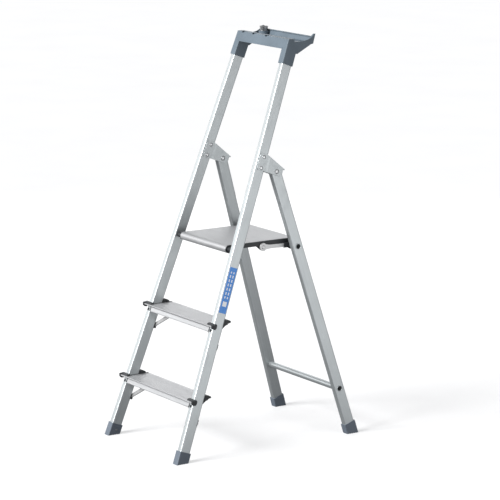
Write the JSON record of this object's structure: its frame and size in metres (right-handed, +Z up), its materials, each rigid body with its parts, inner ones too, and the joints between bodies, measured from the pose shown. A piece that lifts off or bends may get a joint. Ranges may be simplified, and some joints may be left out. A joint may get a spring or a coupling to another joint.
{
  "type": "step stool",
  "caption": "Folding platform step stool with treads on a front frame, a hinged standing platform, side stays, rear legs, and a tool tray on the top rail.",
  "frame": {"origin": "middle of the footprint on the floor", "axes": "+Z up, +Y from the climbing side towards the rear legs, +X the right side as seen by the climber, across the treads"},
  "size_m": [0.466, 0.7744, 1.4245],
  "materials": {
    "anodised_aluminium": "satin anodised extrusion",
    "tread_aluminium": "satin, fine grooves along the length",
    "tube_aluminium": "satin drawn tube",
    "brace_metal": "bright zinc plated",
    "fastener_steel": "zinc plated",
    "rivet_aluminium": "polished by forming",
    "socket_metal": "turned, satin",
    "black_plastic": "fine moulded grain",
    "slate_plastic": "fine moulded grain",
    "grey_plastic": "fine moulded grain",
    "label_film": "printed film"
  },
  "bodies": {
    "front_frame": {"front_stile_left": "anodised_aluminium", "front_stile_right": "anodised_aluminium", "front_foot_left": "slate_plastic", "front_foot_right": "slate_plastic", "tread_lower": "tread_aluminium", "tread_upper": "tread_aluminium", "tread_shoe_lower_left": "black_plastic", "tread_shoe_lower_right": "black_plastic", "tread_shoe_upper_left": "black_plastic", "tread_shoe_upper_right": "black_plastic", "brace_lower_left": "brace_metal", "brace_lower_right": "brace_metal", "brace_upper_left": "brace_metal", "brace_upper_right": "brace_metal", "tread_plugs": "fastener_steel", "brace_blocks": "black_plastic", "brace_rivets": "fastener_steel", "hinge_bracket_left": "anodised_aluminium", "hinge_bracket_right": "anodised_aluminium", "bracket_rivets_left": "rivet_aluminium", "bracket_rivets_right": "rivet_aluminium", "hinge_pin_left": "rivet_aluminium", "hinge_pin_right": "rivet_aluminium", "platform_pin_left": "fastener_steel", "platform_pin_right": "fastener_steel", "top_cap": "grey_plastic", "tray_socket": "socket_metal", "cap_rivets": "fastener_steel", "foot_rivets": "fastener_steel", "stile_label": "label_film"},
    "rear_frame": {"rear_leg_left": "anodised_aluminium", "rear_leg_right": "anodised_aluminium", "rear_foot_left": "slate_plastic", "rear_foot_right": "slate_plastic", "hinge_washers_left": "black_plastic", "hinge_washers_right": "black_plastic", "upper_cross_tube": "tube_aluminium", "lower_cross_tube": "tube_aluminium"},
    "platform": {"platform_deck": "tread_aluminium", "platform_rail_left": "black_plastic", "platform_rail_right": "black_plastic", "nosing_plug_left": "black_plastic", "nosing_plug_right": "black_plastic"},
    "stay_left": {"stay_left": "brace_metal", "stay_clip_left": "black_plastic", "stay_rivet_left": "fastener_steel"},
    "stay_right": {"stay_right": "brace_metal", "stay_clip_right": "black_plastic", "stay_rivet_right": "fastener_steel"}
  },
  "joints": [
    {"name": "rear_hinge", "type": "hinge", "parent": "front_frame", "child": "rear_frame", "pos_m": [0, 0.0504, 0.9615], "axis": [-1, 0, 0], "range_deg": [0, 37.38]},
    {"name": "platform_pivot", "type": "hinge", "parent": "front_frame", "child": "platform", "pos_m": [0, -0.1201, 0.702], "axis": [1, 0, 0], "range_deg": [0, 56.06]},
    {"name": "stay_pivot_left", "type": "hinge", "parent": "rear_frame", "child": "stay_left", "pos_m": [0, 0.13745, 0.69327], "axis": [-1, 0, 0], "range_deg": [0, 54.1]},
    {"name": "stay_pivot_right", "type": "hinge", "parent": "rear_frame", "child": "stay_right", "pos_m": [0, 0.13745, 0.69327], "axis": [-1, 0, 0], "range_deg": [0, 54.1]}
  ],
  "couplings": [
    {"joint": "platform_pivot", "follows": "rear_hinge", "ratio": 1.4994},
    {"joint": "stay_pivot_left", "follows": "rear_hinge", "ratio": 1.4471},
    {"joint": "stay_pivot_right", "follows": "rear_hinge", "ratio": 1.4471}
  ]
}
